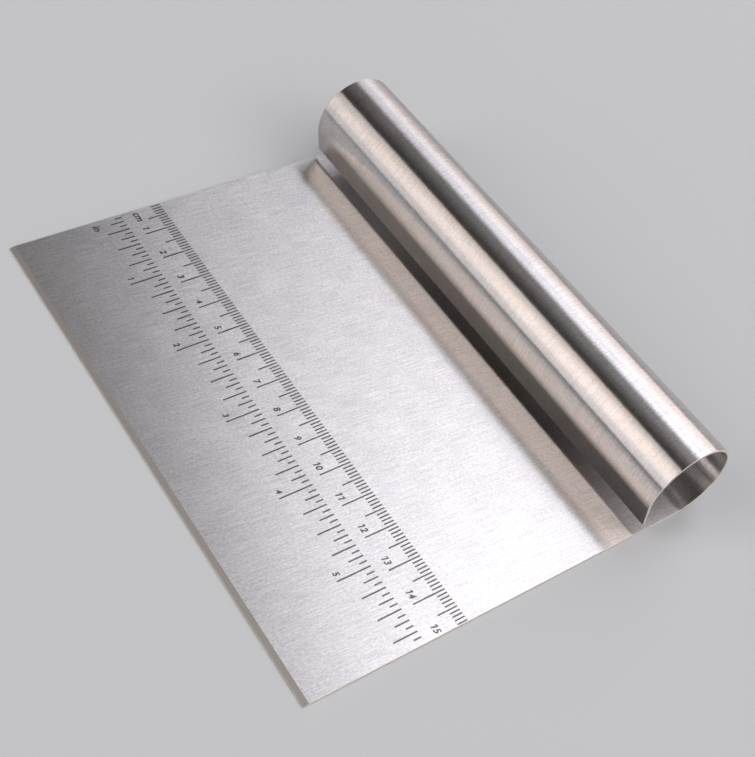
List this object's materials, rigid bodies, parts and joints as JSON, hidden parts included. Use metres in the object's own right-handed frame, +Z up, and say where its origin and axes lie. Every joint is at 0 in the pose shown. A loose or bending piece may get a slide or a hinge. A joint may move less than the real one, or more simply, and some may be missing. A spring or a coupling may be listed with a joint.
{
  "type": "dough scraper",
  "caption": "Flat stainless dough scraper with a ground scraping edge, etched metric and inch rulers, and the back edge of the sheet rolled into an open tube handle.",
  "frame": {"origin": "middle of the footprint, on the surface that the scraper lies on", "axes": "+X along the scraping edge, the way the rulers count; +Y from the scraping edge to the handle; +Z up, out of the ruled face"},
  "size_m": [0.149, 0.119, 0.025],
  "materials": {
    "blade": "stainless steel brushed from the scraping edge to the handle, with dark etched rulers",
    "rolled_handle": "stainless steel brushed around the roll"
  },
  "bodies": {
    "root": {"blade": "blade", "rolled_handle": "rolled_handle"}
  },
  "joints": []
}
